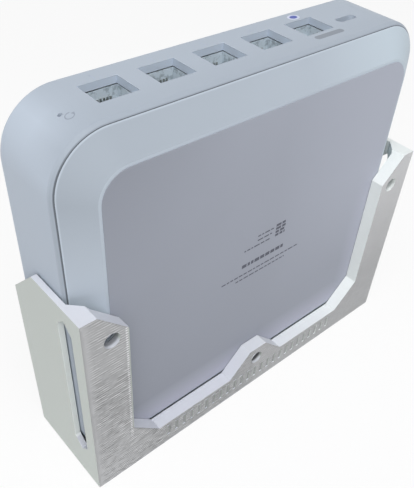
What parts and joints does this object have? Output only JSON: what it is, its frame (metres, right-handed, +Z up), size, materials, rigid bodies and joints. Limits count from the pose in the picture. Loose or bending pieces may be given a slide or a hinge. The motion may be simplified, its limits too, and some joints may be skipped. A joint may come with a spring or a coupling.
{
  "type": "mesh wifi node in wall bracket",
  "caption": "White upright network node with a row of network sockets, a USB-C power inlet and a reset pinhole on its top edge, standing in a printed wall bracket.",
  "frame": {"origin": "centre of the bracket's underside", "axes": "+X along the row of sockets from the reset pinhole to the power inlet, +Y from the wall side to the room side, +Z up"},
  "size_m": [0.1464, 0.0374, 0.1296],
  "materials": {
    "bracket_print": "printed layers, satin",
    "shell_white": "fine matt",
    "cover_white": "fine matt",
    "panel_grey": "soft matt",
    "screw_steel": "zinc plated",
    "board_green": "solder mask",
    "tinned_steel": "tin plated",
    "jack_plastic": "moulded",
    "contact_gold": "gold flash",
    "chip_black": "moulded epoxy",
    "switch_black": "moulded",
    "plunger_white": "moulded nylon",
    "thermal_pad": "soft silicone",
    "sink_aluminium": "extruded",
    "inductor_grey": "pressed ferrite",
    "capacitor_can": "drawn can"
  },
  "bodies": {
    "bracket": {"wall_bracket": "bracket_print"},
    "gateway": {"main_shell": "shell_white", "bottom_cover": "cover_white", "base_panel": "panel_grey", "case_screws": "screw_steel", "main_board": "board_green", "board_screws": "screw_steel", "jack_shield_1": "tinned_steel", "jack_housing_1": "jack_plastic", "jack_contacts_1": "contact_gold", "line_transformer_1": "chip_black", "jack_shield_2": "tinned_steel", "jack_housing_2": "jack_plastic", "jack_contacts_2": "contact_gold", "line_transformer_2": "chip_black", "jack_shield_3": "tinned_steel", "jack_housing_3": "jack_plastic", "jack_contacts_3": "contact_gold", "line_transformer_3": "chip_black", "jack_shield_4": "tinned_steel", "jack_housing_4": "jack_plastic", "jack_contacts_4": "contact_gold", "line_transformer_4": "chip_black", "jack_shield_5": "tinned_steel", "jack_housing_5": "jack_plastic", "jack_contacts_5": "contact_gold", "line_transformer_5": "chip_black", "usb_c_shell": "tinned_steel", "usb_c_insulator": "switch_black", "reset_switch": "switch_black", "processor": "chip_black", "switch_chip": "chip_black", "memory_chip_1": "chip_black", "memory_chip_2": "chip_black", "flash_chip": "chip_black", "radio_chip": "chip_black", "power_chip": "chip_black", "processor_pad": "thermal_pad", "switch_chip_pad": "thermal_pad", "clock_crystal": "tinned_steel", "heat_sink": "sink_aluminium", "heat_sink_pins": "plunger_white", "radio_shield_frame": "tinned_steel", "radio_shield_lid": "tinned_steel", "antenna_left": "tinned_steel", "antenna_right": "tinned_steel", "power_inductors": "inductor_grey", "power_capacitors": "capacitor_can"},
    "reset_plunger": {"reset_plunger": "plunger_white"}
  },
  "joints": [
    {"name": "lift_out", "type": "slide", "parent": "bracket", "child": "gateway", "axis": [0, 0, 1], "range_m": [0, 0.09]},
    {"name": "reset_press", "type": "slide", "parent": "gateway", "child": "reset_plunger", "axis": [0, 0, -1], "range_m": [0, 0.00025], "stiffness_N_per_m": 4800}
  ]
}
